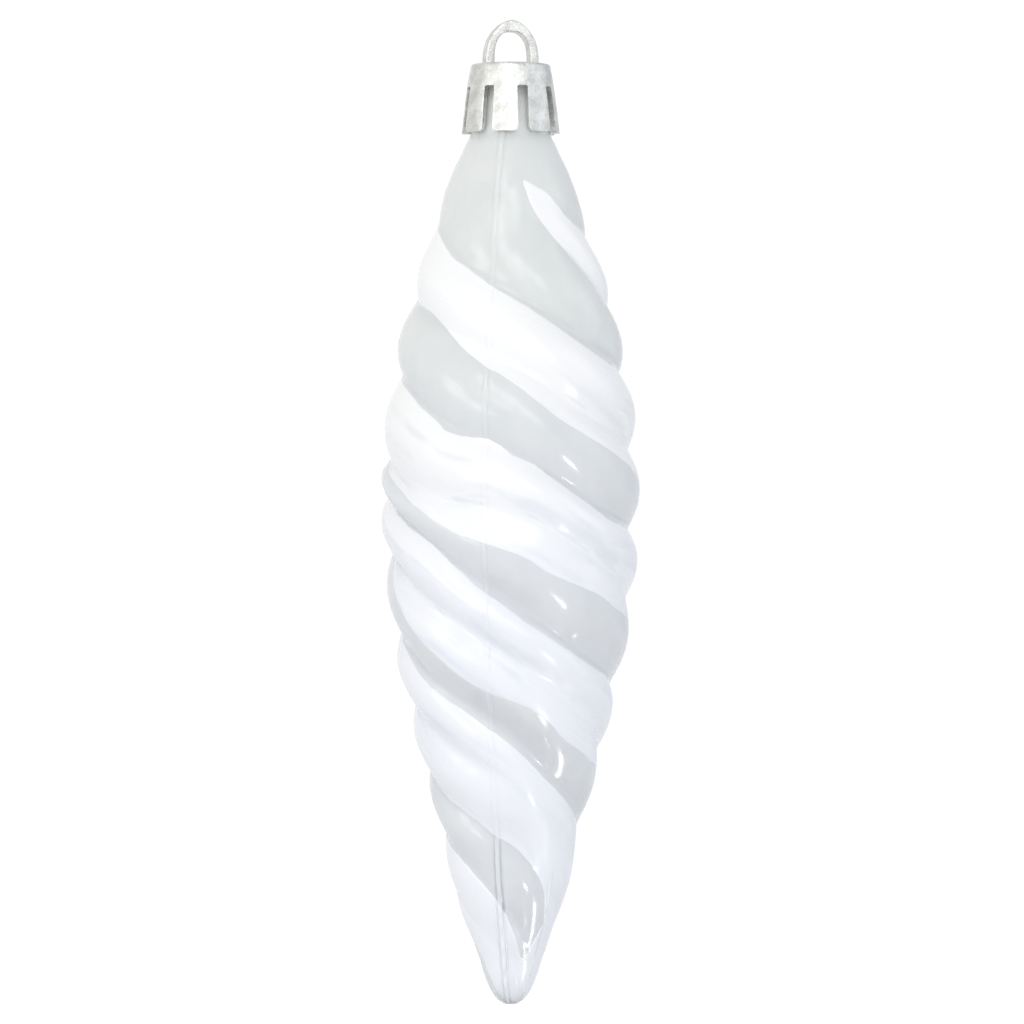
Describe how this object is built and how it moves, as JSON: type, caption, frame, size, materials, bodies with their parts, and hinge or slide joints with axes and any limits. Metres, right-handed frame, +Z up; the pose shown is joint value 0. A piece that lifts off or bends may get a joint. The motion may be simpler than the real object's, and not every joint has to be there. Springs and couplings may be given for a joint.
{
  "type": "icicle hanging ornament",
  "caption": "Twisted-rope icicle ornament of milky translucent plastic with white helical bands, hung from a silver crown cap with spring fingers and a flat arched loop.",
  "frame": {"origin": "the point under the loop's crown where the hook or thread bears, on the ornament's long axis", "axes": "+Z up along the ornament's long axis, tip down, so the body lies at negative Z; -Y is the front; the loop's plane is turned 14 degrees from the X axis about Z"},
  "size_m": [0.0358, 0.0358, 0.1357],
  "materials": {
    "milky_plastic": "glossy milky translucent plastic with a fine mould parting line",
    "white_paint": "sprayed white paint coat, satin, streaky and thinner towards its edges",
    "silver_coating": "vacuum-metallised silver over moulded plastic, finely speckled"
  },
  "bodies": {
    "hanger": {"crown_cap": "silver_coating", "hanging_loop": "silver_coating"},
    "icicle": {"icicle_shell": "milky_plastic", "white_band_a": "white_paint", "white_band_b": "white_paint"}
  },
  "joints": [
    {"name": "cap_pull_off", "type": "slide", "parent": "hanger", "child": "icicle", "axis": [0, 0, -1], "range_m": [0, 0.012]}
  ]
}
